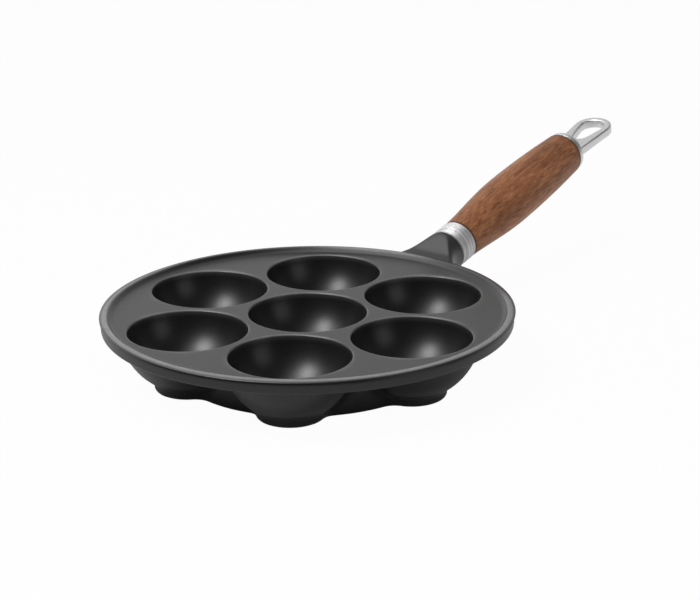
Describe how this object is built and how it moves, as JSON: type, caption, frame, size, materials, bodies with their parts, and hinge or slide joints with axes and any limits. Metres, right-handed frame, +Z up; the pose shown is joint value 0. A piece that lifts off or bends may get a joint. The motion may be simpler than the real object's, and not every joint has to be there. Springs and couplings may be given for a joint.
{
  "type": "aebleskiver pan",
  "caption": "Cast-iron pan with round hollow cups sunk in a flat plate, a raised rim and a heat ring, on a rising wooden handle with a metal hanging loop.",
  "frame": {"origin": "centre of the middle cup's flat foot, on the surface that the pan stands on", "axes": "+X along the handle's direction over the stove, +Z up, +Y completes a right-handed frame"},
  "size_m": [0.4475, 0.2374, 0.0802],
  "materials": {
    "iron": "satin black, fine cast texture",
    "ferrule_metal": "turned",
    "walnut": "oiled, satin",
    "rod_steel": "plain",
    "loop_metal": "cast and polished"
  },
  "bodies": {
    "root": {"pan_casting": "iron", "ferrule": "ferrule_metal", "grip": "walnut", "tie_rod": "rod_steel", "hanging_loop": "loop_metal"}
  },
  "joints": []
}
